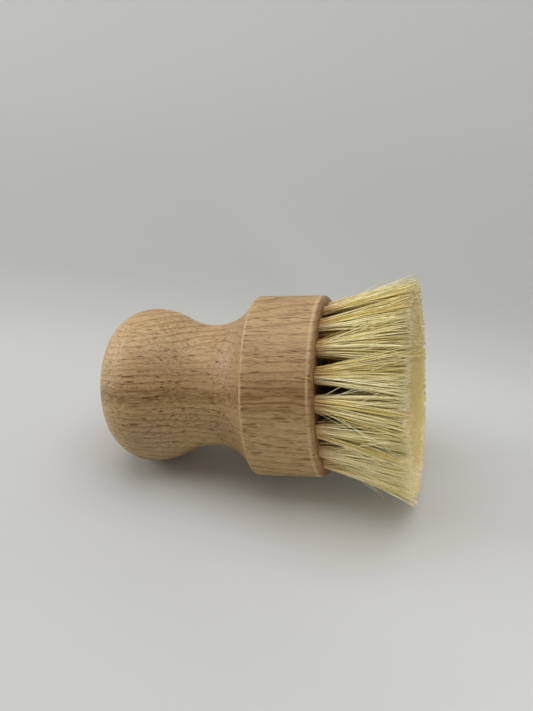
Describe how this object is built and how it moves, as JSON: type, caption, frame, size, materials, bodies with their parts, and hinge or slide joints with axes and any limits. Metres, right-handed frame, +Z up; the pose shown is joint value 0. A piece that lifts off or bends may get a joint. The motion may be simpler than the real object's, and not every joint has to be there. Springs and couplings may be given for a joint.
{
  "type": "beard brush",
  "caption": "Round palm brush with a turned wooden knob handle and tufts of stiff plant fibre set in its flat face, for brushing a beard or scrubbing.",
  "frame": {"origin": "on the floor plane under the middle of the bounding box", "axes": "+X towards the fibre ends, along the brush as it lies on its side; +Z up; the brush's own axis lies in the XZ plane and rises towards the fibres by 6.6 degrees"},
  "size_m": [0.091, 0.0612, 0.0601],
  "materials": {
    "turned_wood": "satin, fine sanded",
    "plant_fibre": "stiff natural fibre, trimmed",
    "anchor_wire": "flat drawn wire"
  },
  "bodies": {
    "root": {"handle": "turned_wood", "outer_tuft_1": "plant_fibre", "outer_tuft_2": "plant_fibre", "outer_tuft_3": "plant_fibre", "outer_tuft_4": "plant_fibre", "outer_tuft_5": "plant_fibre", "outer_tuft_6": "plant_fibre", "outer_tuft_7": "plant_fibre", "outer_tuft_8": "plant_fibre", "outer_tuft_9": "plant_fibre", "outer_tuft_10": "plant_fibre", "outer_tuft_11": "plant_fibre", "outer_tuft_12": "plant_fibre", "outer_tuft_13": "plant_fibre", "outer_tuft_14": "plant_fibre", "outer_tuft_15": "plant_fibre", "outer_tuft_16": "plant_fibre", "outer_tuft_17": "plant_fibre", "outer_tuft_18": "plant_fibre", "middle_tuft_1": "plant_fibre", "middle_tuft_2": "plant_fibre", "middle_tuft_3": "plant_fibre", "middle_tuft_4": "plant_fibre", "middle_tuft_5": "plant_fibre", "middle_tuft_6": "plant_fibre", "middle_tuft_7": "plant_fibre", "middle_tuft_8": "plant_fibre", "middle_tuft_9": "plant_fibre", "middle_tuft_10": "plant_fibre", "middle_tuft_11": "plant_fibre", "middle_tuft_12": "plant_fibre", "inner_tuft_1": "plant_fibre", "inner_tuft_2": "plant_fibre", "inner_tuft_3": "plant_fibre", "inner_tuft_4": "plant_fibre", "inner_tuft_5": "plant_fibre", "inner_tuft_6": "plant_fibre", "centre_tuft": "plant_fibre", "outer_ring_anchors": "anchor_wire", "middle_ring_anchors": "anchor_wire", "inner_ring_anchors": "anchor_wire", "centre_anchor": "anchor_wire"}
  },
  "joints": []
}
